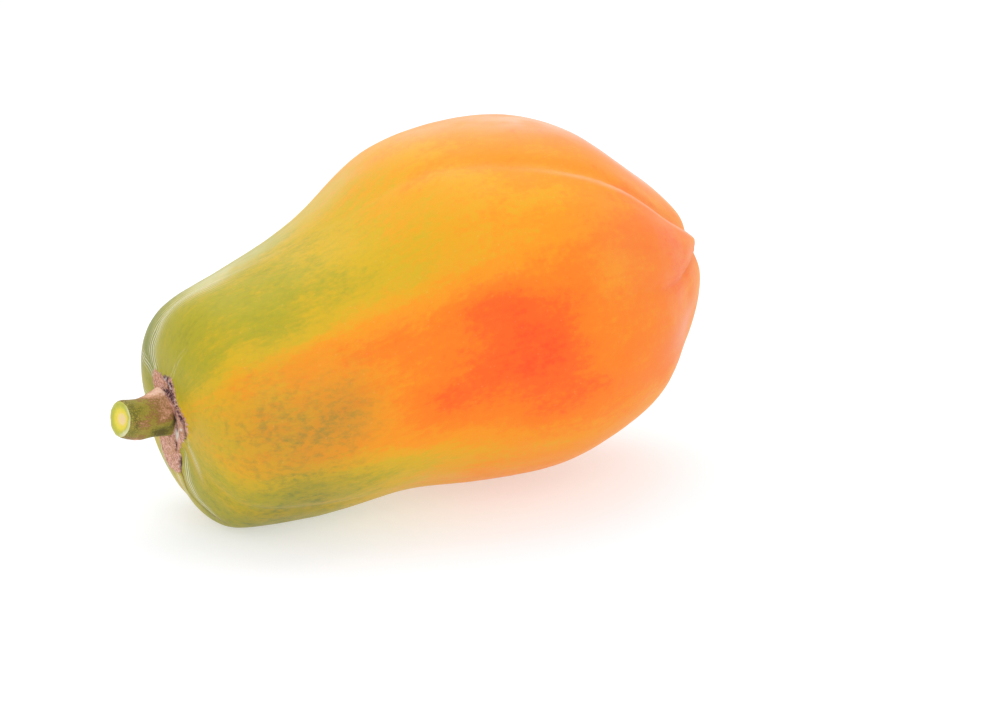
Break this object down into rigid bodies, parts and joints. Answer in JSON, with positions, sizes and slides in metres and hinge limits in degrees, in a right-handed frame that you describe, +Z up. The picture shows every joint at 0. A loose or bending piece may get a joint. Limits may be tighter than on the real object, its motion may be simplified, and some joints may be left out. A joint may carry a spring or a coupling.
{
  "type": "papaya",
  "caption": "Whole ripe papaya lying on its side, pear-shaped and softly lobed, with its cut stem, for still lifes, kitchens and food displays.",
  "frame": {"origin": "on the ground, under the middle of the whole object's box: the two rest spots lie at z = 0", "axes": "+X from the stem end to the blossom end along the ground, +Z up, -Y towards the side the picture shows"},
  "size_m": [0.2224, 0.1284, 0.1249],
  "materials": {
    "skin": "satin, waxy ripe skin, yellow-green at the stem end and orange to orange-red on the body",
    "stem": "matt green stem with corky patches and a fresh yellow-green cut face"
  },
  "bodies": {
    "root": {"papaya_fruit": "skin", "stem": "stem"}
  },
  "joints": []
}
